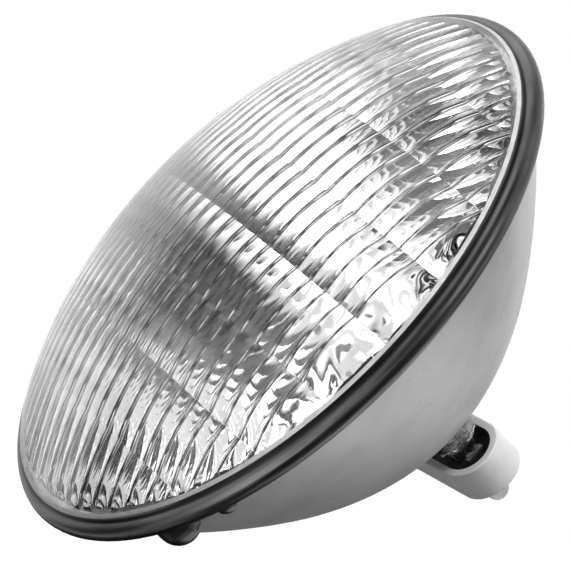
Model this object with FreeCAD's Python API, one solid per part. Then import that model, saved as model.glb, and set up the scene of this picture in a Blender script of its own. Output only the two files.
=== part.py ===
"""Sealed-beam PAR spotlight bulb, about 177 mm across, in millimetres.

Origin: centre of the fused rim seam. +Z runs along the lamp's axis towards the front of
the lens, and +Y runs along the ceramic base bar, from prong to prong.
"""
import FreeCAD, Part
import math
import os
from FreeCAD import Vector as V

# Fused rim: one half-round bead, its upper half on the lens and its lower half on the bowl
rim_radius = 88.4
bead_radius = 2.8
bead_centre_radius = rim_radius - bead_radius

# Front lens, outer dome: a flat centre arc that runs on into a tighter shoulder arc
dome_centre_arc = 175.0
dome_shoulder_arc = 129.0
dome_blend_radius = 46.6

# Front lens, edge: a short upright step inside the bead, then the land that meets the bowl
lens_edge_inset = 0.6
lens_edge_step = 1.315
lens_edge_round = 0.6
lens_land = 4.4
lens_edge_radius = bead_centre_radius - lens_edge_inset
lens_mouth_radius = lens_edge_radius - lens_land

# Front lens, inner face: lenticular flutes in vertical zones, on one inner sphere.
# The flutes are evenly spaced along an arc, and a plain border is left at its two ends.
lens_wall = 4.2
lens_mouth_wall = 3.93
zone_angle = 7.1
zone_offset_angle = 0.42
zone_arc_radius = 50.0
flute_pitch = 6.55
flute_arc_radius = 115.2
flutes_each_side = 12
flute_depth = 0.75
pattern_turn = -4.8

# Reflector bowl: a pressed glass paraboloid
bowl_vertex_depth = 65.35
bowl_wall = 3.2
bowl_mouth_inset = 4.13
bowl_neck_inset = 1.74
flange_fillet = 0.6
bowl_mouth_radius = bead_centre_radius - bowl_mouth_inset
bowl_neck_radius = bead_centre_radius - bowl_neck_inset

# Each parabola is drawn as arcs that join at these shares of its radius
parabola_joints = (0, 0.35, 0.65, 1)

# Index lumps under the rim bead
lug_angle = 213.8
lug_radius = 5.8
lug_depth = 10.3
lug_inset = 3.2
pip_angle = 226.3
pip_radius = 3.0
pip_depth = 5.7
pip_inset = 1.6

# Ferrules: thin drawn metal cups, their flared edge fused to a boss on the bowl
ferrule_spread = 19.8
ferrule_cup_radius = 4.0
ferrule_collar_step = 1.3
ferrule_flange_width = 1.3
ferrule_step_depth = 2.6
ferrule_wall = 0.5
ferrule_length = 6.3
ferrule_edge_round = 0.4
ferrule_collar_radius = ferrule_cup_radius + ferrule_collar_step
ferrule_flange_radius = ferrule_collar_radius + ferrule_flange_width

# Ferrule bosses and holes at the back of the bowl
boss_margin = 0.3
boss_draft = 1.2
boss_stand = 0.887
ferrule_hole_clearance = 2.3
boss_face_radius = ferrule_flange_radius + boss_margin
boss_radius = boss_face_radius + boss_draft

# Exhaust tube, sealed off behind the bowl
exhaust_radius = 2.5
exhaust_bore_radius = 1.5
exhaust_tip_length = 5.6

# Filament and the posts that carry it
post_radius = 0.9
post_run = 14.0
post_neck = 8.0
post_bend_radius = 3.0
post_overhang = 1.2
filament_length = 10.0
filament_coil_radius = 1.5
filament_wire_radius = 0.28
filament_turns = 9
filament_leg = 1.2
clamp_wall = 0.6
clamp_length = 4.4
clamp_radius = post_radius + clamp_wall
ferrule_hole_radius = post_radius + ferrule_hole_clearance

# Ceramic base bar: an oblong trough, open towards the bowl
bar_half_width = 9.2
bar_end_reach = 11.4
bar_lap = 0.35
bar_height = 10.4
bar_side_wall = 2.2
bar_end_wall = 2.4
bar_floor = 4.4
bar_edge_round = 0.5
slot_clearance = 0.15

# Contact prongs and the straps that join them to the ferrules
prong_spacing = 16.0
prong_width = 6.4
prong_thickness = 1.6
prong_reach = 15.3
prong_edge_round = 0.3
tang_width = 3.6
tang_above_strap = 0.7
strap_width = 5.6
strap_thickness = 0.8
strap_pad_reach = 4.4
strap_riser_run = 3.0
strap_heel_reach = 3.2
strap_bend_radius = 0.6

# How far a cutting tool runs past a face, and how near an edge must lie to be picked or fused
past = 1.0
pick_tolerance = 0.01
fuse_tolerance = 0.0001

os.makedirs("parts", exist_ok=True)


def save(name, shape):
    """Write one piece to its own file and report its volume."""
    shape.exportStep("parts/" + name + ".step")
    print(name, "solids", len(shape.Solids), "valid", shape.isValid(), "cm3", round(shape.Volume / 1000, 3))


def line(a, b):
    return Part.LineSegment(a, b).toShape()


def arc(a, middle, b):
    return Part.Arc(a, middle, b).toShape()


def turned(edges):
    """Revolve a closed outline in the XZ plane about the lamp's axis."""
    face = Part.Face(Part.Wire(edges))
    return face.revolve(V(0, 0, 0), V(0, 0, 1), 360)


def arc_drop(radius, arc_radius):
    """How far an arc of this radius falls from its crown at a distance from the axis."""
    return arc_radius - math.sqrt(arc_radius ** 2 - radius ** 2)


def point_on_bead(angle):
    """A point round the bead's section, from its outermost point upwards, in degrees."""
    a = math.radians(angle)
    return V(bead_centre_radius + bead_radius * math.cos(a), 0, bead_radius * math.sin(a))


# Dome heights, worked out from the edge of the lens inwards
bead_step_height = math.sqrt(bead_radius ** 2 - lens_edge_inset ** 2)
lens_edge_height = bead_step_height + lens_edge_step
blend_slope = math.asin(dome_blend_radius / dome_centre_arc)
shoulder_axis = dome_blend_radius - dome_shoulder_arc * math.sin(blend_slope)


def shoulder_drop(radius):
    """Fall of the shoulder arc below the point where it leaves the centre arc."""
    start = math.sqrt(dome_shoulder_arc ** 2 - (dome_blend_radius - shoulder_axis) ** 2)
    return start - math.sqrt(dome_shoulder_arc ** 2 - (radius - shoulder_axis) ** 2)


blend_height = lens_edge_height + shoulder_drop(lens_edge_radius)
apex_height = blend_height + arc_drop(dome_blend_radius, dome_centre_arc)

# The inner sphere leaves the lens its wall at the crown and at the mouth
inner_crown_height = apex_height - lens_wall
inner_mouth_height = blend_height - shoulder_drop(lens_mouth_radius) - lens_mouth_wall
inner_sag = inner_crown_height - inner_mouth_height
inner_sphere_radius = (lens_mouth_radius ** 2 + inner_sag ** 2) / (2 * inner_sag)
inner_centre_height = inner_crown_height - inner_sphere_radius


def dome_point(radius):
    """A point of the outer dome, in the XZ plane."""
    if radius <= dome_blend_radius:
        return V(radius, 0, apex_height - arc_drop(radius, dome_centre_arc))
    return V(radius, 0, blend_height - shoulder_drop(radius))


def make_lens_blank():
    """The lens before its inner face is pressed: dome, edge step and upper half of the bead."""
    crown = dome_point(0)
    blend = dome_point(dome_blend_radius)
    edge = dome_point(lens_edge_radius)
    step = V(lens_edge_radius, 0, bead_step_height)
    outline = [
        line(V(0, 0, 0), crown),
        arc(crown, dome_point(dome_blend_radius / 2), blend),
        arc(blend, dome_point((dome_blend_radius + lens_edge_radius) / 2), edge),
        line(edge, step),
        arc(step, point_on_bead(45), point_on_bead(0)),
        line(V(rim_radius, 0, 0), V(0, 0, 0)),
    ]
    blank = turned(outline)
    corner = [e for e in blank.Edges if is_ring(e, lens_edge_radius, edge.z)]
    return blank.makeFillet(lens_edge_round, corner)


def is_ring(edge, radius, height):
    """True for a circle about the lamp's axis with this radius and height."""
    if edge.Degenerated or not isinstance(edge.Curve, Part.Circle):
        return False
    curve = edge.Curve
    return abs(curve.Radius - radius) < pick_tolerance and abs(curve.Center.z - height) < pick_tolerance


def make_zone_tool():
    """The space under one zone: a scalloped outline turned about an axis along the zone."""
    axis_height = inner_sphere_radius - zone_arc_radius

    def crest(w):
        return V(0, w, inner_sphere_radius - arc_drop(w, inner_sphere_radius))

    def border(near, far):
        return arc(crest(near), crest((near + far) / 2), crest(far))

    valleys = []
    for k in range(-flutes_each_side, flutes_each_side):
        valleys.append(flute_arc_radius * math.sin((k + 0.5) * flute_pitch / flute_arc_radius))
    reach = max(lens_mouth_radius, valleys[-1]) + past
    edges = [border(-reach, valleys[0]), border(valleys[-1], reach)]
    for a, b in zip(valleys, valleys[1:]):
        ridge = crest((a + b) / 2) - V(0, 0, flute_depth)
        edges.append(arc(crest(a), ridge, crest(b)))
    low_a = V(0, -reach, axis_height + past)
    low_b = V(0, reach, axis_height + past)
    edges.append(line(crest(reach), low_b))
    edges.append(line(low_b, low_a))
    edges.append(line(low_a, crest(-reach)))
    face = Part.Face(Part.Wire(Part.__sortEdges__(edges)))
    sweep = 2 * zone_angle * inner_sphere_radius / zone_arc_radius
    face.rotate(V(0, 0, axis_height), V(0, 1, 0), -sweep)
    return face.revolve(V(0, 0, axis_height), V(0, 1, 0), 2 * sweep)


def make_wedge(low_angle, high_angle):
    """The sector between two planes through the inner sphere's centre, along the zones."""
    reach = inner_sphere_radius / math.cos(math.radians(zone_angle)) + past
    points = [V(0, -lens_edge_radius, 0)]
    for angle in (low_angle, high_angle):
        a = math.radians(angle)
        points.append(V(reach * math.sin(a), -lens_edge_radius, reach * math.cos(a)))
    face = Part.Face(Part.makePolygon(points + [points[0]]))
    return face.extrude(V(0, 2 * lens_edge_radius, 0))


def make_inner_core():
    """Everything the pressed inner face clears away: all zones side by side."""
    tool = make_zone_tool()
    mouth_angle = math.degrees(math.asin(lens_mouth_radius / inner_sphere_radius))
    zones_each_side = round(mouth_angle / zone_angle)
    pieces = []
    for k in range(-zones_each_side, zones_each_side):
        low = zone_offset_angle + k * zone_angle
        high = low + zone_angle
        zone = tool.copy()
        zone.rotate(V(0, 0, 0), V(0, 1, 0), (low + high) / 2)
        if k == -zones_each_side:
            low = low - zone_angle
        if k == zones_each_side - 1:
            high = high + zone_angle
        pieces.append(zone.common(make_wedge(low, high)))
    core = pieces[0].fuse(pieces[1:], fuse_tolerance)
    core.translate(V(0, 0, inner_centre_height))
    core.rotate(V(0, 0, 0), V(0, 0, 1), pattern_turn)
    mouth = Part.makeCylinder(lens_mouth_radius, apex_height + 2 * past, V(0, 0, -past))
    return core.common(mouth)


def make_front_lens():
    return make_lens_blank().cut(make_inner_core())


def paraboloid_height(radius, vertex_depth, focal):
    return radius ** 2 / (4 * focal) - vertex_depth


def parabola(radius, vertex_depth, focal):
    """A parabola in the XZ plane, from its vertex out to a radius, as a few long arcs."""
    edges = []
    radii = [radius * share for share in parabola_joints]
    for a, b in zip(radii, radii[1:]):
        points = [V(r, 0, paraboloid_height(r, vertex_depth, focal)) for r in (a, (a + b) / 2, b)]
        edges.append(arc(*points))
    return edges


def paraboloid_depth(radius):
    """Depth of the bowl's outer face below the seam."""
    return -paraboloid_height(radius, bowl_vertex_depth, bowl_outer_focal)


# Places that several pieces share, worked out from the sizes above
bowl_inner_depth = bowl_vertex_depth - bowl_wall
bowl_inner_focal = bowl_mouth_radius ** 2 / (4 * bowl_inner_depth)
bowl_outer_focal = bowl_neck_radius ** 2 / (4 * (bowl_vertex_depth - bead_radius))
focus_height = bowl_inner_focal - bowl_inner_depth
boss_face_depth = paraboloid_depth(ferrule_spread) + boss_stand
ferrule_end_height = -boss_face_depth - ferrule_length
bar_top_height = ferrule_end_height + bar_lap
bar_rear_height = bar_top_height - bar_height
bar_floor_height = bar_rear_height + bar_floor
strap_top_height = bar_floor_height + strap_thickness
clamp_spread = filament_length / 2 + filament_leg + clamp_radius


def drilled_at(shape, y, radius, top, bottom):
    """Cut a round hole along Z through a shape."""
    drill = Part.makeCylinder(radius, top - bottom, V(0, y, bottom))
    return shape.cut(drill)


def make_bowl_wall():
    """Paraboloid wall with the lower half of the rim bead around its mouth."""
    outline = [
        line(V(0, 0, -bowl_inner_depth), V(0, 0, -bowl_vertex_depth)),
        *parabola(bowl_neck_radius, bowl_vertex_depth, bowl_outer_focal),
        line(V(bowl_neck_radius, 0, -bead_radius), point_on_bead(-90)),
        arc(point_on_bead(-90), point_on_bead(-45), point_on_bead(0)),
        line(point_on_bead(0), V(bowl_mouth_radius, 0, 0)),
        *parabola(bowl_mouth_radius, bowl_inner_depth, bowl_inner_focal),
    ]
    body = turned(Part.__sortEdges__(outline))
    corner = [e for e in body.Edges if is_ring(e, bowl_neck_radius, -bead_radius)]
    return body.makeFillet(flange_fillet, corner)


def bowl_cavity():
    """The space inside the bowl, used to keep lumps out of it."""
    outline = [
        line(V(0, 0, 0), V(bowl_mouth_radius, 0, 0)),
        *parabola(bowl_mouth_radius, bowl_inner_depth, bowl_inner_focal),
        line(V(0, 0, -bowl_inner_depth), V(0, 0, 0)),
    ]
    return turned(Part.__sortEdges__(outline))


def make_lump(angle, inset, radius, depth):
    """A round-ended moulded lump that hangs under the rim bead."""
    a = math.radians(angle)
    x = (bead_centre_radius - inset) * math.cos(a)
    y = (bead_centre_radius - inset) * math.sin(a)
    centre = V(x, y, radius - depth)
    top = -bead_radius / 2
    lump = Part.makeCylinder(radius, radius, centre).fuse(Part.makeSphere(radius, centre))
    below = Part.makeBox(4 * radius, 4 * radius, depth, V(x - 2 * radius, y - 2 * radius, top - depth))
    return lump.common(below)


def make_reflector_bowl():
    bowl = make_bowl_wall()
    cavity = bowl_cavity()
    lumps = [
        make_lump(lug_angle, lug_inset, lug_radius, lug_depth),
        make_lump(pip_angle, pip_inset, pip_radius, pip_depth),
    ]
    boss_height = boss_face_depth - paraboloid_depth(ferrule_spread + boss_radius)
    for y in (-ferrule_spread, ferrule_spread):
        boss = Part.makeCone(boss_face_radius, boss_radius, boss_height, V(0, y, -boss_face_depth))
        lumps.append(boss)
    bowl = bowl.fuse([lump.cut(cavity) for lump in lumps])
    tool_end = -max(bowl_vertex_depth, boss_face_depth) - past
    for y in (-ferrule_spread, ferrule_spread):
        bowl = drilled_at(bowl, y, boss_face_radius, -boss_face_depth, tool_end)
        bowl = drilled_at(bowl, y, ferrule_hole_radius, 0, tool_end)
    return drilled_at(bowl, 0, exhaust_radius, 0, tool_end)


def make_exhaust_tube():
    """Glass tube through the middle of the bowl, melted shut in a round tip."""
    tip = -bowl_vertex_depth - exhaust_tip_length
    length = -bowl_inner_depth - tip - exhaust_radius
    tube = Part.makeCylinder(exhaust_radius, length, V(0, 0, tip + exhaust_radius))
    tube = tube.fuse(Part.makeSphere(exhaust_radius, V(0, 0, tip + exhaust_radius)))
    tube = tube.removeSplitter()
    bore = Part.makeCylinder(exhaust_bore_radius, length + past, V(0, 0, tip + exhaust_radius))
    return tube.cut(bore)


def make_ferrule(y):
    """A stepped drawn cup: flared edge, wide collar, then the narrow closed cup."""
    flange = ferrule_flange_radius
    collar = ferrule_collar_radius
    cup = ferrule_cup_radius
    wall = ferrule_wall
    step = -ferrule_step_depth
    end = -ferrule_length
    points = [
        (collar - wall, 0), (flange, 0), (flange, -wall), (collar, -wall), (collar, step), (cup, step),
        (cup, end), (0, end), (0, end + wall), (cup - wall, end + wall), (cup - wall, step + wall),
        (collar - wall, step + wall), (collar - wall, 0),
    ]
    face = Part.Face(Part.makePolygon([V(r, 0, z) for r, z in points]))
    ferrule = face.revolve(V(0, 0, 0), V(0, 0, 1), 360)
    soft = [e for e in ferrule.Edges if is_ring(e, cup, end) or is_ring(e, collar, step)]
    ferrule = ferrule.makeFillet(ferrule_edge_round, soft)
    ferrule.translate(V(0, y, -boss_face_depth))
    return ferrule


def rounded_path(points, radius):
    """Straight runs joined by tangent arcs of one radius."""
    edges = []
    start = points[0]
    for before, corner, after in zip(points, points[1:], points[2:]):
        into = (corner - before).normalize()
        out = (after - corner).normalize()
        turn = into.getAngle(out)
        trim = radius * math.tan(turn / 2)
        a = corner - into * trim
        b = corner + out * trim
        bisector = (out - into).normalize()
        centre = corner + bisector * (radius / math.cos(turn / 2))
        edges.append(line(start, a))
        edges.append(arc(a, centre - bisector * radius, b))
        start = b
    edges.append(line(start, points[-1]))
    return Part.Wire(edges)


def swept_round(path, start, direction, radius):
    """A round wire of one radius along a path."""
    circle = Part.Wire(Part.makeCircle(radius, start, direction))
    return path.makePipeShell([circle], True, False)


def make_lead_post(side):
    """Stiff wire from the ferrule's end up to the filament, bent in above the boss."""
    foot = V(0, side * ferrule_spread, ferrule_end_height + ferrule_wall)
    knee = foot + V(0, 0, post_run)
    top = V(0, side * clamp_spread, focus_height + post_overhang)
    neck = V(0, side * clamp_spread, focus_height - post_neck)
    path = rounded_path([foot, knee, neck, top], post_bend_radius)
    return swept_round(path, foot, V(0, 0, 1), post_radius)


def make_filament_clamp(side):
    """A short sleeve crimped around the post's tip and the filament's leg."""
    base = V(0, side * clamp_spread, focus_height + post_overhang - clamp_length)
    sleeve = Part.makeCylinder(clamp_radius, clamp_length, base)
    bore = Part.makeCylinder(post_radius, clamp_length, base)
    return sleeve.cut(bore)


def make_filament():
    """Coiled wire across the focus, with a straight leg at each end."""
    pitch = filament_length / filament_turns
    helix = Part.makeHelix(pitch, filament_length, filament_coil_radius)
    start = V(filament_coil_radius, 0, 0)
    circle = Part.Wire(Part.makeCircle(filament_wire_radius, start, V(0, 1, pitch / (2 * math.pi))))
    coil = Part.Wire(helix.Edges).makePipeShell([circle], True, True)
    pieces = []
    for base, z in ((-filament_leg, 0), (filament_length, filament_length)):
        leg = Part.makeCylinder(filament_wire_radius, filament_leg, V(filament_coil_radius, 0, base))
        bend = Part.makeSphere(filament_wire_radius, V(filament_coil_radius, 0, z))
        pieces.extend([leg, bend])
    filament = coil.fuse(pieces)
    filament.translate(V(0, 0, -filament_length / 2))
    filament.rotate(V(0, 0, 0), V(0, 0, 1), 90)
    filament.rotate(V(0, 0, 0), V(1, 0, 0), -90)
    filament.translate(V(0, 0, focus_height))
    return filament


def oblong(half_width, end_reach, height):
    """A long outline with two half-ellipse ends, as a face at one height."""
    edges = []
    for side in (1, -1):
        centre = V(0, side * ferrule_spread, height)
        long_end = centre + V(0, side * end_reach, 0)
        wide_end = centre + V(-side * half_width, 0, 0)
        ellipse = Part.Ellipse(long_end, wide_end, centre)
        edges.append(Part.ArcOfEllipse(ellipse, -math.pi / 2, math.pi / 2).toShape())
    for x in (half_width, -half_width):
        edges.append(line(V(x, -ferrule_spread, height), V(x, ferrule_spread, height)))
    return Part.Face(Part.Wire(Part.__sortEdges__(edges)))


def prong_slot(y, clearance, low, high):
    """The block of space that a prong's tang takes on its way through a wall."""
    width = tang_width + 2 * clearance
    thickness = prong_thickness + 2 * clearance
    return Part.makeBox(width, thickness, high - low, V(-width / 2, y - thickness / 2, low))


def make_ceramic_base():
    """Oblong ceramic trough with a slot through its floor for each prong."""
    bar = oblong(bar_half_width, bar_end_reach, bar_rear_height).extrude(V(0, 0, bar_height))
    outer_edges = [e for e in bar.Edges if e.BoundBox.ZLength < pick_tolerance]
    bar = bar.makeFillet(bar_edge_round, outer_edges)
    hollow = oblong(bar_half_width - bar_side_wall, bar_end_reach - bar_end_wall, bar_floor_height)
    bar = bar.cut(hollow.extrude(V(0, 0, bar_height)))
    for side in (-1, 1):
        y = side * prong_spacing / 2
        bar = bar.cut(prong_slot(y, slot_clearance, bar_rear_height - past, bar_floor_height + past))
    return bar


def make_contact_prong(side):
    """Flat blade with a round tip, and a narrow tang that goes up through the base."""
    y = side * prong_spacing / 2
    half = prong_width / 2
    tang = tang_width / 2
    tip = bar_rear_height - prong_reach
    head = strap_top_height + tang_above_strap
    shoulder = bar_rear_height
    outline = [
        line(V(tang, 0, head), V(tang, 0, shoulder)),
        line(V(tang, 0, shoulder), V(half, 0, shoulder)),
        line(V(half, 0, shoulder), V(half, 0, tip + half)),
        arc(V(half, 0, tip + half), V(0, 0, tip), V(-half, 0, tip + half)),
        line(V(-half, 0, tip + half), V(-half, 0, shoulder)),
        line(V(-half, 0, shoulder), V(-tang, 0, shoulder)),
        line(V(-tang, 0, shoulder), V(-tang, 0, head)),
        line(V(-tang, 0, head), V(tang, 0, head)),
    ]
    blade = Part.Face(Part.Wire(outline)).extrude(V(0, prong_thickness, 0))
    rim = [e for e in blade.Edges if on_blade_rim(e, tip + half)]
    blade = blade.makeFillet(prong_edge_round, rim)
    blade.translate(V(0, y - prong_thickness / 2, 0))
    return blade


def on_blade_rim(edge, tip_centre):
    """True for the long edges of a blade's two faces, from the shoulders round the tip."""
    box = edge.BoundBox
    flat = box.YLength < pick_tolerance
    outside = max(abs(box.XMin), abs(box.XMax)) > tang_width / 2 + pick_tolerance
    return flat and outside and box.ZMin < tip_centre + pick_tolerance


def make_terminal_strap(side):
    """Bent strip from the ferrule's end down to the trough floor and in to the prong."""
    prong_y = prong_spacing / 2
    pad_top = ferrule_end_height
    pad_low = pad_top - strap_thickness
    floor_y = ferrule_spread - strap_pad_reach - strap_riser_run
    pad_y = ferrule_spread - strap_pad_reach
    slope = math.atan2(pad_low - bar_floor_height, strap_riser_run)
    shift = strap_thickness * math.tan(slope / 2)
    lower = [
        (prong_y - strap_heel_reach, bar_floor_height), (floor_y, bar_floor_height),
        (pad_y, pad_low), (ferrule_spread + strap_pad_reach, pad_low),
    ]
    upper = [
        (ferrule_spread + strap_pad_reach, pad_top), (pad_y - shift, pad_top),
        (floor_y - shift, strap_top_height), (prong_y - strap_heel_reach, strap_top_height),
    ]
    points = [V(-strap_width / 2, y, z) for y, z in lower + upper + lower[:1]]
    strap = Part.Face(Part.makePolygon(points)).extrude(V(strap_width, 0, 0))
    bends = [e for e in strap.Edges if is_strap_bend(e, floor_y, pad_y, shift)]
    strap = strap.makeFillet(strap_bend_radius, bends)
    strap = strap.cut(prong_slot(prong_y, slot_clearance, bar_floor_height - past, strap_top_height + past))
    if side < 0:
        strap = strap.mirror(V(0, 0, 0), V(0, 1, 0))
    return strap


def is_strap_bend(edge, floor_y, pad_y, shift):
    """True for the edges across a strap where it bends up and flattens out again."""
    box = edge.BoundBox
    across = box.XLength > strap_width - pick_tolerance and box.YLength < pick_tolerance
    bend_places = (floor_y, pad_y, floor_y - shift, pad_y - shift)
    return across and any(abs(box.YMin - place) < pick_tolerance for place in bend_places)


save("front_lens", make_front_lens())
save("reflector_bowl", make_reflector_bowl())
save("exhaust_tube", make_exhaust_tube())
save("filament", make_filament())
save("ceramic_base", make_ceramic_base())
for name, side in (("a", -1), ("b", 1)):
    save("ferrule_" + name, make_ferrule(side * ferrule_spread))
    save("lead_post_" + name, make_lead_post(side))
    save("filament_clamp_" + name, make_filament_clamp(side))
    save("terminal_strap_" + name, make_terminal_strap(side))
    save("contact_prong_" + name, make_contact_prong(side))
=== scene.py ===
"""Studio view of a sealed-beam spotlight bulb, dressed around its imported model, in metres."""
import bpy
import math
import bmesh
from mathutils import Matrix, Vector


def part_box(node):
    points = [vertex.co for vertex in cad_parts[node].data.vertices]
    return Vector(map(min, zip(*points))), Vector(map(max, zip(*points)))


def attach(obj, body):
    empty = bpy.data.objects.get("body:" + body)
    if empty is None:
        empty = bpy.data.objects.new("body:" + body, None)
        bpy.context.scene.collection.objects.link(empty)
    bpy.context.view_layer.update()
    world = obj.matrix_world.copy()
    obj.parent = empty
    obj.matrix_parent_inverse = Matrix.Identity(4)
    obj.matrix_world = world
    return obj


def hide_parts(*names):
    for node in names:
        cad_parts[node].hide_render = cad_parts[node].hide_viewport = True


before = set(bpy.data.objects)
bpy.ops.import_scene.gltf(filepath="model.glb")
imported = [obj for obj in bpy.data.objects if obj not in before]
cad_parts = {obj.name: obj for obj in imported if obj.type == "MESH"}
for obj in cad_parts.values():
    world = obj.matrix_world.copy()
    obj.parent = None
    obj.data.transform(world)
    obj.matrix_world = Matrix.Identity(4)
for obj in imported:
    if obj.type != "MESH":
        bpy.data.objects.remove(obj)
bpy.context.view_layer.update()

# Sizes read from the frame
rim_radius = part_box("front_lens")[1][0]
apex_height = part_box("front_lens")[1][2]
base_low, base_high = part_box("ceramic_base")

# Lens outer form: a dome of two arcs, a rounded edge and the upper half of the rim bead
bead_radius = 0.0028
bead_centre = rim_radius - bead_radius
dome_centre_arc = 0.175
dome_shoulder_arc = 0.129
dome_blend_radius = 0.0466
lens_edge_radius = 0.085
lens_edge_drop = 0.0008
lens_edge_reach = 0.0006
# Width of the band inside the rounded edge that also gets the painted highlight
lens_edge_highlight_width = 0.0004
bead_overlap = 0.00016
seam_gap = 0.00003
seam_lip = 0.0002
bead_steps = 14
lens_edge_steps = 6
dome_rings = 44
lens_segments = 320
lens_sharp_angle = math.radians(52)

# Lens inner face: flutes across it and zones up and down, turned a little from the base bar
lens_mouth_radius = 0.0806
lens_wall = 0.0042
inner_sphere_radius = 0.1652
flute_pitch = 0.00655
flute_arc_radius = 0.1152
flutes_each_side = 12
flute_depth = 0.00062
zone_width = 0.0199
zone_offset = 0.0012
zone_sag = 0.0012
zones_each_side = 5
pattern_turn = math.radians(-4.8)

# Grid lines from a ridge to the middle of a flute and of a zone, as shares of its width
flute_steps = (0.03, 0.07, 0.13, 0.22, 0.35)
zone_steps = (0.01, 0.03, 0.07, 0.13, 0.2, 0.28, 0.36, 0.43)

# Plain border beyond the flutes, with the waves that molten glass leaves there. A wave is given by
# its turning in radians per metre, then the swing and the turning of the bends that cross it.
border_steps = 12
border_row_margin = 0.001
border_column_margin = 0.002
border_wave = 0.00045
border_wave_rise = 0.003
border_wave_across_zones = (430, 1.3, 310)
border_wave_across_flutes = (560, 1.7, 270)

# Reflector bowl, as in the solid: each face is a paraboloid, and the lumps lie near the bead
bowl_inner_depth = 0.06215
bowl_inner_focal = 0.0267
bowl_outer_depth = 0.06535
bowl_outer_focal = 0.02811
boss_radius = 0.0081
lump_start_radius = 0.7 * rim_radius
face_margin = 0.0002

# Ferrules, as in the solids
ferrule_spread = 0.0198
ferrule_flange_radius = 0.0066
ferrule_collar_radius = 0.0053
ferrule_cup_radius = 0.004
ferrule_step_depth = 0.0026
ferrule_wall = 0.0005
ferrule_length = 0.0063
ferrule_corner = 0.0004
ferrule_corner_cut = 0.00012
ferrule_fillet_cut = 0.00008
ferrule_cap_radius = 0.0012
ferrule_segments = 144
ferrule_sharp_angle = math.radians(50)

# Flared edge of a ferrule: inset from the flange, walls below its top, and share of the folds.
# The folds fade out along the collar.
ferrule_flare = (
    (0.0008, 0, 0.3), (0.0001, 0, 1), (0, 0.4, 1), (0.0001, 1, 1), (0.0006, 1, 0.7), (0.001, 1.2, 0.4),
)
ferrule_collar_folds = ((2, 0.25), (3, 0.15))
# Folds crimped into that edge: how many go round it, their share of the whole, and their start
crimp_folds = ((4, 0.3, 0.6), (9, 0.4, 2.1), (17, 0.3, 0))
crimp_reach = 0.0003
crimp_drop = 0.0004

# Ceramic base, as in the solid; its wall and floor bound the trough whose faces get painted shade
base_wall = 0.0022
base_floor = 0.0044

# Glass
glass_ior = 1.474

# Surround: a low even light on the object, greys by height as glass and metal show them, and a floor
world_light = 0.22
world_tones = ((0.25, 0.85), (0.5, 0.8))
floor_height = -1.7
floor_radius = 6.0
floor_segments = 96
floor_grey = 0.92
floor_glow = 1.2
floor_glow_share = 0.82

# Lamps: direction in the level camera's axes, distance, size in metres, and power in watts
lamps = (
    ("key", (1.0, 0.25, 0.8), 1.2, 0.6, 14),
    ("fill", (-0.1, -0.5, 1.0), 1.5, 0.9, 1.5),
    ("back", (0.6, -0.2, -1.0), 1.4, 0.9, 9),
    ("back_left", (-0.35, -0.3, -1.0), 1.5, 0.9, 3),
)

# Studio cards: azimuth, elevation, half width and half height in degrees as the bulb sees them,
# glow, distance in metres, and the share that is solid inside the soft edge where it isn't the
# usual one. A nearer card covers a farther one.
card_solid = 0.7
cards = (
    ("low_front_flag", 12, -15, 45, 40, 0.0, 1.3),
    ("left_panel", 311, 36, 28, 42, 2.8, 1.25),
    ("low_left_flag", 319, -14, 45, 42, 0.0, 1.2),
    ("floor_flag", 72, -75, 38, 15, 0.0, 1.2),
    ("back_left_flag", 238, 27, 26, 27, 0.03, 1.15),
    ("rear_right_panel", 150, 22, 25, 16, 1.8, 1.2),
    ("rear_left_panel", 211, 18, 14, 14, 1.4, 1.1),
    ("front_panel", 46, 32, 16, 44, 3.0, 1.1),
    ("floor_panel", 290, -80, 40, 41, 1.5, 1.1),
    ("low_back_flag", 233, -47, 45, 44, 0.0, 1.0),
    ("front_flag", 50, 50, 40, 29, 0.0, 0.78),
    ("right_panel", 144, 62, 45, 17, 2.9, 0.85),
    ("back_panel", 183, 66, 43, 28, 1.35, 0.8),
    ("back_flag", 187, 55, 14, 34, 0.0, 0.75, 0.3),
)

# Camera, as fitted to the photograph: the bulb stands on its base and the frame is rolled
photo_pixels = 570
camera_turn = math.radians(8.6)
camera_height_angle = math.radians(26.05)
camera_distance = 0.88934
camera_focal_pixels = 3384.4
camera_roll = math.radians(45.0)
camera_target = Vector((0, 0, -0.00555))
camera_shift_pixels = (-0.2, -2.8)
camera_clip_start = 0.01
sensor_width = 36.0

# Colour sockets of a Mix node, which has other sockets of the same names
mix_first = 6
mix_second = 7
mix_result = 2


def grey(value):
    """A neutral opaque colour."""
    return (value, value, value, 1)


def new_material(name, sockets):
    """A node material whose Principled shader has the given socket values."""
    material = bpy.data.materials.new(name)
    material.use_nodes = True
    tree = material.node_tree
    for socket, value in sockets.items():
        tree.nodes["Principled BSDF"].inputs[socket].default_value = value
    return material, tree


def add_noise(tree, scale, detail, stretch=(1, 1, 1)):
    """Noise in the object's own space, at a scale in cells per metre."""
    coordinates = tree.nodes.new("ShaderNodeTexCoord")
    mapping = tree.nodes.new("ShaderNodeMapping")
    mapping.inputs["Scale"].default_value = stretch
    noise = tree.nodes.new("ShaderNodeTexNoise")
    noise.inputs["Scale"].default_value = scale
    noise.inputs["Detail"].default_value = detail
    tree.links.new(coordinates.outputs["Object"], mapping.inputs["Vector"])
    tree.links.new(mapping.outputs["Vector"], noise.inputs["Vector"])
    return noise.outputs["Fac"]


def add_ramp(tree, source, stops):
    """A colour ramp from (position, grey) stops."""
    ramp = tree.nodes.new("ShaderNodeValToRGB")
    elements = ramp.color_ramp.elements
    while len(elements) < len(stops):
        elements.new(0.5)
    for element, (position, value) in zip(elements, stops):
        element.position = position
        element.color = grey(value)
    tree.links.new(source, ramp.inputs["Fac"])
    return ramp.outputs["Color"]


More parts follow.
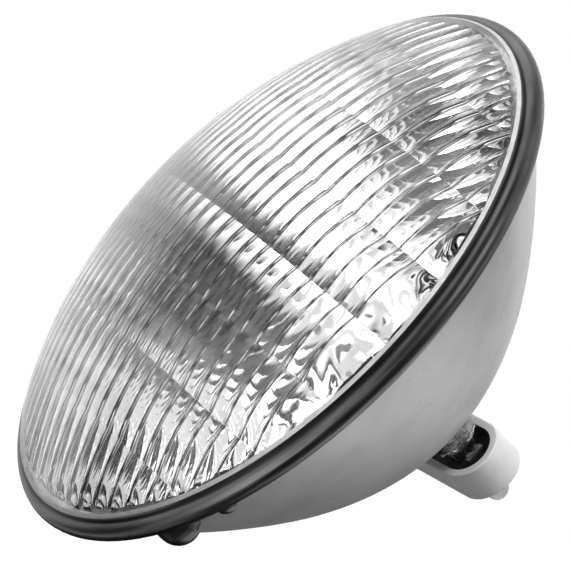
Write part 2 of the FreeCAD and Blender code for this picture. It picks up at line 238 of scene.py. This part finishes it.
def add_colour(tree, colour):
    """Let a texture's colour drive the base colour."""
    tree.links.new(colour, tree.nodes["Principled BSDF"].inputs["Base Color"])


def add_relief(tree, source, depth):
    """Bump the surface by a texture, with its depth in metres."""
    bump = tree.nodes.new("ShaderNodeBump")
    bump.inputs["Distance"].default_value = depth
    tree.links.new(source, bump.inputs["Height"])
    tree.links.new(bump.outputs["Normal"], tree.nodes["Principled BSDF"].inputs["Normal"])


def make_lens_glass():
    """Clear pressed glass with the faint waviness of a mould."""
    sockets = {"Base Color": grey(0.985), "Transmission Weight": 1.0, "IOR": glass_ior, "Roughness": 0.0}
    material, tree = new_material("lens_glass", sockets)
    add_relief(tree, add_noise(tree, scale=110, detail=1), depth=0.00007)
    return material


def make_painted_edge_highlight():
    """The lens's rounded outer edge, rough from the mould, with a pale colour painted on it as a
    highlight, so it shows as a pale line.
    """
    sockets = {"Transmission Weight": 0.3, "IOR": glass_ior, "Roughness": 0.35}
    material, tree = new_material("lens_edge", sockets)
    clouds = add_noise(tree, scale=260, detail=3)
    # Pale greys: a highlight painted along the edge
    add_colour(tree, add_ramp(tree, clouds, [(0.3, 0.75), (0.7, 0.95)]))
    return material


def make_tube_glass():
    """Clear drawn glass, a little uneven from the flame that sealed it."""
    sockets = {"Base Color": grey(0.95), "Transmission Weight": 1.0, "IOR": glass_ior, "Roughness": 0.02}
    material, tree = new_material("tube_glass", sockets)
    add_relief(tree, add_noise(tree, scale=500, detail=2), depth=0.00008)
    return material


def make_mirror():
    """Aluminium coating seen from inside, over slightly wavy glass."""
    sockets = {"Base Color": grey(0.9), "Metallic": 1.0, "Roughness": 0.03}
    material, tree = new_material("bowl_mirror", sockets)
    add_relief(tree, add_noise(tree, scale=60, detail=2), depth=0.00008)
    return material


def make_bowl_back():
    """The same coating seen from behind through the bowl's glass: satin grey with dark specks."""
    sockets = {
        "Metallic": 0.45, "Roughness": 0.5,
        "Coat Weight": 0.35, "Coat Roughness": 0.25, "Coat IOR": glass_ior,
    }
    material, tree = new_material("bowl_back", sockets)
    clouds = add_noise(tree, scale=70, detail=8)
    specks = add_noise(tree, scale=420, detail=3)
    marked = tree.nodes.new("ShaderNodeMix")
    marked.data_type = "RGBA"
    marked.blend_type = "MULTIPLY"
    marked.inputs["Factor"].default_value = 1.0
    tone = add_ramp(tree, clouds, [(0.34, 0.45), (0.5, 0.5), (0.72, 0.54)])
    tree.links.new(tone, marked.inputs[mix_first])
    tree.links.new(add_ramp(tree, specks, [(0.27, 0.84), (0.38, 1.0)]), marked.inputs[mix_second])
    add_colour(tree, marked.outputs[mix_result])
    add_relief(tree, add_noise(tree, scale=240, detail=3), depth=0.00004)
    return material


def make_bead_glass():
    """The fused rim bead: smoky satin glass over the coating, with flow lines along the rim."""
    material, tree = new_material("bead_glass", {"Metallic": 0.9, "Roughness": 0.32})
    flow = add_noise(tree, scale=45, detail=5, stretch=(1, 1, 14))
    add_colour(tree, add_ramp(tree, flow, [(0.3, 0.04), (0.7, 0.12)]))
    add_relief(tree, add_noise(tree, scale=45, detail=4, stretch=(1, 1, 14)), depth=0.00015)
    return material


def make_fused_seam():
    """The bowl's flat land under the lens, seen through it: pale satin glass."""
    material, tree = new_material("fused_seam", {"Metallic": 0.7, "Roughness": 0.25})
    clouds = add_noise(tree, scale=150, detail=4)
    add_colour(tree, add_ramp(tree, clouds, [(0.3, 0.45), (0.7, 0.75)]))
    add_relief(tree, add_noise(tree, scale=220, detail=3), depth=0.0003)
    return material


def make_ceramic():
    """Fired ceramic: off white, matt, with fine grain and faint handling marks."""
    material, tree = new_material("ceramic", {"Roughness": 0.45})
    clouds = add_noise(tree, scale=120, detail=7)
    add_colour(tree, add_ramp(tree, clouds, [(0.3, 0.64), (0.5, 0.71), (0.7, 0.74)]))
    add_relief(tree, add_noise(tree, scale=2600, detail=3), depth=0.00004)
    return material


def make_painted_recess_shade():
    """Painted shade: a near-black mottled tone on the faces inside the base, standing in for the shadow
    in its trough.
    """
    material, tree = new_material("painted_recess_shade", {"Roughness": 0.7})
    clouds = add_noise(tree, scale=350, detail=6)
    # Near-black greys: the trough's shadow painted into its colour
    add_colour(tree, add_ramp(tree, clouds, [(0.35, 0.012), (0.65, 0.05)]))
    add_relief(tree, clouds, depth=0.0004)
    return material


def make_metal(name, dark, light, roughness, scale=300, crumple=0.00003, metallic=1.0):
    """Plated metal with a mottled tone between two greys and a finer grain."""
    material, tree = new_material(name, {"Metallic": metallic, "Roughness": roughness})
    clouds = add_noise(tree, scale=scale, detail=5)
    add_colour(tree, add_ramp(tree, clouds, [(0.3, dark), (0.7, light)]))
    add_relief(tree, add_noise(tree, scale=3 * scale, detail=4), depth=crumple)
    return material


def assign(names, material):
    """Give CAD nodes one material."""
    for name in names:
        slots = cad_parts[name].data.materials
        slots.clear()
        slots.append(material)


def dress(mesh, finishes, choose):
    """Give each face of a mesh the finish that is chosen by where its centre lies."""
    names = list(finishes)
    mesh.materials.clear()
    for material in finishes.values():
        mesh.materials.append(material)
    for polygon in mesh.polygons:
        polygon.material_index = names.index(choose(*polygon.center))


def mesh_object(bm, name):
    """An object in the scene with a finished mesh."""
    mesh = bpy.data.meshes.new(name)
    bm.to_mesh(mesh)
    bm.free()
    item = bpy.data.objects.new(name, mesh)
    bpy.context.collection.objects.link(item)
    return item


def smooth_object(bm, name, sharp_angle):
    """A closed piece, smooth except where its faces meet at more than an angle."""
    bmesh.ops.recalc_face_normals(bm, faces=bm.faces)
    for face in bm.faces:
        face.smooth = True
    piece = mesh_object(bm, name)
    piece.data.set_sharp_from_angle(angle=sharp_angle)
    return piece


def join_rings(bm, low, high):
    """Faces between two rings of as many vertices."""
    for i in range(len(low)):
        j = (i + 1) % len(low)
        bm.faces.new((low[i], low[j], high[j], high[i]))


def lathe(bm, outline, segments, place):
    """Rings of vertices for an outline's points, joined by faces; place says where each one lies."""
    rings = []
    for point in outline:
        angles = [2 * math.pi * i / segments for i in range(segments)]
        rings.append([bm.verts.new(place(angle, *point)) for angle in angles])
    for low, high in zip(rings, rings[1:]):
        join_rings(bm, low, high)
    return rings


def arc_drop(radius, arc_radius):
    """How far an arc has fallen at a distance from its top."""
    return arc_radius - math.sqrt(arc_radius ** 2 - radius ** 2)


def dome_height(radius):
    """Height of the lens's smooth outer face at a distance from the axis."""
    if radius <= dome_blend_radius:
        return apex_height - arc_drop(radius, dome_centre_arc)
    blend_slope = math.asin(dome_blend_radius / dome_centre_arc)
    blend_offset = dome_shoulder_arc * math.sin(blend_slope)
    shoulder_offset = radius - dome_blend_radius + blend_offset
    fall = arc_drop(shoulder_offset, dome_shoulder_arc) - arc_drop(blend_offset, dome_shoulder_arc)
    return apex_height - arc_drop(dome_blend_radius, dome_centre_arc) - fall


def curve_points(start, corner, end, steps):
    """Points of a curve from start to end that bends round a corner."""
    points = []
    for i in range(steps + 1):
        t = i / steps
        weights = ((1 - t) ** 2, 2 * t * (1 - t), t ** 2)
        sides = zip(start, corner, end)
        points.append(tuple(sum(w * part for w, part in zip(weights, parts)) for parts in sides))
    return points


def lens_outline():
    """Radius and height from the seam's inner side, round the bead and over the dome to the apex."""
    points = [(lens_mouth_radius + seam_lip, seam_gap), (lens_edge_radius, seam_gap)]
    seam_turn = math.asin(seam_gap / bead_radius)
    edge_turn = math.acos((lens_edge_radius - bead_centre) / bead_radius)
    for i in range(bead_steps + 1):
        turn = seam_turn + (edge_turn - seam_turn) * i / bead_steps
        points.append((bead_centre + bead_radius * math.cos(turn), bead_radius * math.sin(turn)))
    edge_top = dome_height(lens_edge_radius)
    edge_low = edge_top - lens_edge_drop
    points.append((lens_edge_radius, (points[-1][1] + edge_low) / 2))
    inner = lens_edge_radius - lens_edge_reach
    start = (lens_edge_radius, edge_low)
    corner = (lens_edge_radius, edge_top)
    points.extend(curve_points(start, corner, (inner, dome_height(inner)), lens_edge_steps))
    highlight_inner = inner - lens_edge_highlight_width
    points.append((highlight_inner, dome_height(highlight_inner)))
    for i in range(1, dome_rings):
        radius = inner * (1 - i / dome_rings)
        points.append((radius, dome_height(radius)))
    return points


def ridge_place(number):
    """Distance from the middle to a ridge between flutes, which are spaced evenly along an arc."""
    return flute_arc_radius * math.sin(number * flute_pitch / flute_arc_radius)


def pattern_lines(ridges, half_steps):
    """Grid lines across a repeating pattern, each with its share of the pattern's depth."""
    steps = [0, *half_steps, 0.5, *(1 - step for step in reversed(half_steps))]
    lines = []
    for start, end in zip(ridges, ridges[1:]):
        for step in steps:
            lines.append((start + (end - start) * step, 1 - (2 * step - 1) ** 2))
    lines.append((ridges[-1], 0))
    return lines


def flute_rows():
    """Grid lines along the flutes, with a plain border past the last flute on each side."""
    numbers = range(-flutes_each_side, flutes_each_side)
    rows = pattern_lines([ridge_place(number + 0.5) for number in numbers], flute_steps)
    last = rows[-1][0]
    border = lens_mouth_radius + border_row_margin - last
    for i in range(1, border_steps + 1):
        place = last + border * i / border_steps
        rows.append((place, 0))
        rows.insert(0, (-place, 0))
    return rows


def zone_columns():
    """Grid lines along the zones, as far as the lens's mouth reaches."""
    numbers = range(-zones_each_side, zones_each_side + 1)
    lines = pattern_lines([zone_offset + zone_width * number for number in numbers], zone_steps)
    return [line for line in lines if abs(line[0]) < lens_mouth_radius + border_column_margin]


def border_swirl(x, y):
    """The slow irregular waves of glass that flowed to the edge of its mould, between -1 and 1."""
    turning_x, swing_x, bend_y = border_wave_across_zones
    turning_y, swing_y, bend_x = border_wave_across_flutes
    wave_x = math.sin(turning_x * x + swing_x * math.sin(bend_y * y))
    wave_y = math.cos(turning_y * y + swing_y * math.sin(bend_x * x))
    return wave_x * wave_y


def pressed_point(x, y, flute, zone):
    """A point of the inner face, x across the zones and y across the flutes, with its shares of depth."""
    reach = math.hypot(x, y)
    height = apex_height - lens_wall - arc_drop(reach, inner_sphere_radius)
    height -= flute_depth * flute + zone_sag * (1 - zone)
    past_flutes = abs(y) - ridge_place(flutes_each_side - 0.5)
    if past_flutes > 0:
        height += border_wave * min(1, past_flutes / border_wave_rise) * border_swirl(x, y)
    turn_cos = math.cos(pattern_turn)
    turn_sin = math.sin(pattern_turn)
    return (x * turn_cos - y * turn_sin, x * turn_sin + y * turn_cos, height)


def mouth_cells(columns, rows):
    """Cells of the grid whose middles lie inside the lens's mouth."""
    cells = []
    for i in range(len(columns) - 1):
        for j in range(len(rows) - 1):
            x = (columns[i][0] + columns[i + 1][0]) / 2
            y = (rows[j][0] + rows[j + 1][0]) / 2
            if math.hypot(x, y) < lens_mouth_radius:
                cells.append((i, j))
    return cells


def make_fluted_face(bm):
    """The pressed inner face: a grid along the flutes and zones, its edge drawn in to the mouth."""
    columns = zone_columns()
    rows = flute_rows()
    cells = mouth_cells(columns, rows)
    inside = set(cells)
    verts = {}
    for i, j in cells:
        corners = ((i, j), (i, j + 1), (i + 1, j + 1), (i + 1, j))
        for a, b in corners:
            if (a, b) in verts:
                continue
            x, zone = columns[a]
            y, flute = rows[b]
            if not inside.issuperset(((a, b), (a - 1, b), (a, b - 1), (a - 1, b - 1))):
                scale = lens_mouth_radius / math.hypot(x, y)
                x *= scale
                y *= scale
            verts[(a, b)] = bm.verts.new(pressed_point(x, y, flute, zone))
        bm.faces.new([verts[corner] for corner in corners])


def make_mouth_wall(bm):
    """The straight wall from the fluted face's edge down to the seam; gives its lower edges."""
    rim = [edge for edge in bm.edges if edge.is_boundary]
    wall = bmesh.ops.extrude_edge_only(bm, edges=rim)["geom"]
    for item in wall:
        if isinstance(item, bmesh.types.BMVert):
            item.co.z = seam_gap
    return [item for item in wall if isinstance(item, bmesh.types.BMEdge) and item.is_boundary]


def make_lens_outside(bm):
    """The smooth outside, closed by a fan at the apex; gives its first ring's edges, on the seam."""
    def place(angle, radius, height):
        return (radius * math.cos(angle), radius * math.sin(angle), height)

    rings = lathe(bm, lens_outline(), lens_segments, place)
    apex = bm.verts.new((0, 0, apex_height))
    for vert, following in zip(rings[-1], rings[-1][1:] + rings[-1][:1]):
        bm.faces.new((vert, following, apex))
    return [bm.edges.get(pair) for pair in zip(rings[0], rings[0][1:] + rings[0][:1])]


def lens_finish(x, y, z):
    """The finish of the lens's face at a point."""
    radius = math.hypot(x, y)
    if z < 2 * seam_gap:
        return "seam"
    if radius > lens_edge_radius - bead_overlap:
        return "bead"
    # The rounded edge and a band inside it carry the painted highlight
    if radius > lens_edge_radius - lens_edge_reach - lens_edge_highlight_width:
        return "edge"
    return "glass"


def make_lens(bead, seam):
    """The whole lens: one closed glass body with its pressed pattern inside."""
    bm = bmesh.new()
    make_fluted_face(bm)
    foot = make_mouth_wall(bm)
    bmesh.ops.bridge_loops(bm, edges=foot + make_lens_outside(bm))
    lens = smooth_object(bm, "clear_lens", lens_sharp_angle)
    finishes = {"glass": make_lens_glass(), "bead": bead, "seam": seam, "edge": make_painted_edge_highlight()}
    dress(lens.data, finishes, lens_finish)
    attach(lens, "root")
    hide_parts("front_lens")


def crimp(angle):
    """Irregular folds round a crimped edge, between -1 and 1."""
    return sum(share * math.sin(folds * angle + start) for folds, share, start in crimp_folds)


def ferrule_outline():
    """Radius, height and share of the folds: down the outside to the end, then up the inside."""
    collar = ferrule_collar_radius
    cup = ferrule_cup_radius
    wall = ferrule_wall
    corner = ferrule_corner
    cut = ferrule_corner_cut
    step = -ferrule_step_depth
    end = -ferrule_length
    outside = [(collar - wall, 0, 0)]
    for inset, walls_down, folded in ferrule_flare:
        outside.append((ferrule_flange_radius - inset, -walls_down * wall, folded))
    for walls_down, folded in ferrule_collar_folds:
        outside.append((collar, -walls_down * wall, folded))
    plain = [
        (collar, step + corner), (collar - cut, step + cut), (collar - corner, step),
        (cup + corner, step), (cup + ferrule_fillet_cut, step - cut), (cup, step - corner),
        (cup, end + corner), (cup - cut, end + cut), (cup - corner, end),
        (ferrule_cap_radius, end),
    ]
    outside.extend((radius, height, 0) for radius, height in plain)
    inside = [
        (ferrule_cap_radius, end + wall, 0), (cup - wall, end + wall, 0),
        (cup - wall, step + wall, 0), (collar - wall, step + wall, 0),
    ]
    return outside, inside


def make_ferrule(node, metal):
    """A drawn cup like the solid it stands for, with its flared edge crimped into folds."""
    low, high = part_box(node)
    centre_y = (low.y + high.y) / 2

    def place(angle, radius, height, folded):
        fold = crimp(angle) * folded
        reach = radius + crimp_reach * fold
        drop = crimp_drop * folded * (1 + fold)
        return (reach * math.cos(angle), centre_y + reach * math.sin(angle), high.z + height - drop)

    bm = bmesh.new()
    outside, inside = [lathe(bm, part, ferrule_segments, place) for part in ferrule_outline()]
    bm.faces.new(outside[-1])
    bm.faces.new(inside[0])
    join_rings(bm, inside[-1], outside[0])
    piece = smooth_object(bm, "crimped_" + node, ferrule_sharp_angle)
    piece.data.materials.append(metal)
    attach(piece, "root")
    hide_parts(node)


def bowl_finish(x, y, z):
    """The finish of the bowl's face at a point: mirror inside, satin back, smoky bead and lumps."""
    radius = math.hypot(x, y)
    outer_height = radius ** 2 / (4 * bowl_outer_focal) - bowl_outer_depth
    inner_height = radius ** 2 / (4 * bowl_inner_focal) - bowl_inner_depth
    if abs(z - inner_height) < 2 * face_margin and radius < lens_edge_radius:
        return "mirror"
    if abs(math.hypot(radius - bead_centre, z) - bead_radius) < face_margin:
        return "bead"
    if z > -face_margin:
        return "seam"
    boss_reach = math.hypot(x, abs(y) - ferrule_spread)
    if boss_reach < boss_radius + face_margin and z < outer_height - face_margin:
        return "boss"
    if radius > lump_start_radius and z < outer_height - 2 * face_margin:
        return "bead"
    return "back"


def base_finish(x, y, z):
    """The finish of the base's face at a point: painted shade inside the trough, ceramic elsewhere."""
    round_centre_y = base_high.y - base_high.x
    reach = math.hypot(x, max(0, abs(y) - round_centre_y))
    within_walls = reach < base_high.x - base_wall + face_margin
    above_floor = base_low.z + base_floor - face_margin < z < base_high.z - face_margin
    return "painted_recess_shade" if within_walls and above_floor else "ceramic"


def dress_bulb():
    """Finish every CAD node, and make the lens and the ferrules that stand in for theirs."""
    base_finishes = {"ceramic": make_ceramic(), "painted_recess_shade": make_painted_recess_shade()}
    dress(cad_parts["ceramic_base"].data, base_finishes, base_finish)
    ferrule_metal = make_metal("ferrule_metal", dark=0.12, light=0.7, roughness=0.22, crumple=0.0003)
    for name in ("ferrule_a", "ferrule_b"):
        make_ferrule(name, ferrule_metal)
    strap_metal = make_metal("strap_metal", dark=0.35, light=0.55, roughness=0.4)
    assign(["terminal_strap_a", "terminal_strap_b"], strap_metal)
    prong_metal = make_metal("prong_metal", dark=0.7, light=0.85, roughness=0.35, metallic=0.45)
    assign(["contact_prong_a", "contact_prong_b"], prong_metal)
    post_metal = make_metal("post_metal", dark=0.7, light=0.85, roughness=0.2)
    assign(["lead_post_a", "lead_post_b", "filament_clamp_a", "filament_clamp_b"], post_metal)
    assign(["filament"], make_metal("tungsten", dark=0.35, light=0.5, roughness=0.3))
    assign(["exhaust_tube"], make_tube_glass())
    boss_metal = make_metal(
        "boss_metal", dark=0.03, light=0.35, roughness=0.22, scale=240, crumple=0.0006,
    )
    bead = make_bead_glass()
    seam = make_fused_seam()
    bowl_finishes = {
        "back": make_bowl_back(), "mirror": make_mirror(), "bead": bead, "seam": seam, "boss": boss_metal,
    }
    dress(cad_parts["reflector_bowl"].data, bowl_finishes, bowl_finish)
    make_lens(bead, seam)


def background_ray(tree):
    """1 for rays that meet the plain white surround: those of the camera, gloss and glass."""
    path = tree.nodes.new("ShaderNodeLightPath")
    seen = path.outputs["Is Camera Ray"]
    for name in ("Is Glossy Ray", "Is Transmission Ray"):
        either = tree.nodes.new("ShaderNodeMath")
        either.operation = "MAXIMUM"
        tree.links.new(seen, either.inputs[0])
        tree.links.new(path.outputs[name], either.inputs[1])
        seen = either.outputs["Value"]
    return seen


def mix_shaders(tree, factor, first, second):
    """The material's surface: a blend of two shaders."""
    mix = tree.nodes.new("ShaderNodeMixShader")
    tree.links.new(factor, mix.inputs["Fac"])
    tree.links.new(first, mix.inputs[1])
    tree.links.new(second, mix.inputs[2])
    tree.links.new(mix.outputs["Shader"], tree.nodes["Material Output"].inputs["Surface"])


def make_world():
    """White to the camera, pale grey in glass and metal, and a low even light on the object."""
    world = bpy.data.worlds.new("studio")
    bpy.context.scene.world = world
    world.use_nodes = True
    tree = world.node_tree
    strength = tree.nodes.new("ShaderNodeMapRange")
    strength.inputs["To Min"].default_value = world_light
    strength.inputs["To Max"].default_value = 1.0
    tree.links.new(background_ray(tree), strength.inputs["Value"])
    coordinates = tree.nodes.new("ShaderNodeTexCoord")
    height = tree.nodes.new("ShaderNodeSeparateXYZ")
    tree.links.new(coordinates.outputs["Generated"], height.inputs["Vector"])
    path = tree.nodes.new("ShaderNodeLightPath")
    plain = tree.nodes.new("ShaderNodeMix")
    plain.data_type = "RGBA"
    plain.inputs[mix_second].default_value = grey(1.0)
    tree.links.new(path.outputs["Is Camera Ray"], plain.inputs["Factor"])
    tree.links.new(add_ramp(tree, height.outputs["Z"], world_tones), plain.inputs[mix_first])
    background = tree.nodes["Background"]
    tree.links.new(plain.outputs[mix_result], background.inputs["Color"])
    tree.links.new(strength.outputs["Result"], background.inputs["Strength"])


def make_floor():
    """A plain white floor that glows to the camera, gloss and glass and still takes a shadow."""
    material, tree = new_material("floor", {"Base Color": grey(floor_grey), "Roughness": 0.9})
    glow = tree.nodes.new("ShaderNodeEmission")
    glow.inputs["Strength"].default_value = floor_glow
    share = tree.nodes.new("ShaderNodeMath")
    share.operation = "MULTIPLY"
    share.inputs[1].default_value = floor_glow_share
    tree.links.new(background_ray(tree), share.inputs[0])
    shader = tree.nodes["Principled BSDF"]
    mix_shaders(tree, share.outputs["Value"], shader.outputs["BSDF"], glow.outputs["Emission"])
    bm = bmesh.new()
    bmesh.ops.create_circle(bm, cap_ends=True, radius=floor_radius, segments=floor_segments)
    floor = mesh_object(bm, "floor")
    floor.data.materials.append(material)
    floor.location.z = floor_height


def camera_axes():
    """Right, up and back of the level camera, before its roll."""
    right = Vector((math.cos(camera_turn), -math.sin(camera_turn), 0))
    away = Vector((math.sin(camera_turn), math.cos(camera_turn), 0))
    up = away * math.sin(camera_height_angle) + Vector((0, 0, math.cos(camera_height_angle)))
    return right, up, right.cross(up)


def make_camera():
    """The photograph's camera, rolled so that the bulb lies tilted in the frame."""
    right, up, back = camera_axes()
    roll_right = right * math.cos(camera_roll) - up * math.sin(camera_roll)
    roll_up = right * math.sin(camera_roll) + up * math.cos(camera_roll)
    data = bpy.data.cameras.new("camera")
    data.sensor_width = sensor_width
    data.lens = camera_focal_pixels / photo_pixels * sensor_width
    data.shift_x = camera_shift_pixels[0] / photo_pixels
    data.shift_y = camera_shift_pixels[1] / photo_pixels
    data.clip_start = camera_clip_start
    camera = bpy.data.objects.new("camera", data)
    turn = Matrix((roll_right, roll_up, back)).transposed()
    camera.matrix_world = Matrix.Translation(camera_target + back * camera_distance) @ turn.to_4x4()
    bpy.context.collection.objects.link(camera)
    bpy.context.scene.camera = camera


def room_direction(azimuth, elevation):
    """A direction seen from the bulb: azimuth 0 points under the camera, 90 to the camera's right."""
    right = camera_axes()[0]
    toward = right.cross(Vector((0, 0, 1)))
    turn = math.radians(azimuth)
    rise = math.radians(elevation)
    level = toward * math.cos(turn) + right * math.sin(turn)
    return level * math.cos(rise) + Vector((0, 0, math.sin(rise)))


def make_card_material(name, light, solid):
    """A glow, black where its light is 0, that fades out from the solid share to the card's edge."""
    material, tree = new_material(name, {})
    tree.nodes.remove(tree.nodes["Principled BSDF"])
    coordinates = tree.nodes.new("ShaderNodeTexCoord")
    length = tree.nodes.new("ShaderNodeVectorMath")
    length.operation = "LENGTH"
    fade = tree.nodes.new("ShaderNodeMapRange")
    fade.interpolation_type = "SMOOTHSTEP"
    fade.inputs["From Min"].default_value = solid
    fade.inputs["From Max"].default_value = 1.0
    glow = tree.nodes.new("ShaderNodeEmission")
    glow.inputs["Strength"].default_value = light
    clear = tree.nodes.new("ShaderNodeBsdfTransparent")
    tree.links.new(coordinates.outputs["Object"], length.inputs[0])
    tree.links.new(length.outputs["Value"], fade.inputs["Value"])
    mix_shaders(tree, fade.outputs["Result"], glow.outputs["Emission"], clear.outputs["BSDF"])
    return material


def make_card(name, azimuth, elevation, half_width, half_height, light, distance, solid=card_solid):
    """A soft-edged studio card that only glass and metal reflect: a black flag or a glowing panel."""
    bm = bmesh.new()
    bmesh.ops.create_grid(bm, x_segments=1, y_segments=1, size=1)
    card = mesh_object(bm, name)
    card.data.materials.append(make_card_material(name, light, solid))
    place = room_direction(azimuth, elevation)
    card.location = place * distance
    card.rotation_euler = place.to_track_quat("-Z", "Y").to_euler()
    card.scale.x = distance * math.tan(math.radians(half_width))
    card.scale.y = distance * math.tan(math.radians(half_height))
    card.visible_camera = False
    card.visible_diffuse = False
    card.visible_shadow = False


def make_lamp(name, direction, distance, size, power):
    """A soft square lamp that looks at the bulb from a direction in the level camera's axes."""
    right, up, back = camera_axes()
    place = (right * direction[0] + up * direction[1] + back * direction[2]).normalized() * distance
    data = bpy.data.lights.new(name, "AREA")
    data.shape = "SQUARE"
    data.size = size
    data.energy = power
    lamp = bpy.data.objects.new(name, data)
    lamp.location = place
    lamp.rotation_euler = (-place).to_track_quat("-Z", "Y").to_euler()
    lamp.visible_glossy = False
    lamp.visible_transmission = False
    bpy.context.collection.objects.link(lamp)


dress_bulb()
make_world()
make_floor()
make_camera()
for lamp in lamps:
    make_lamp(*lamp)
for card in cards:
    make_card(*card)
bpy.context.scene.view_settings.view_transform = "Standard"
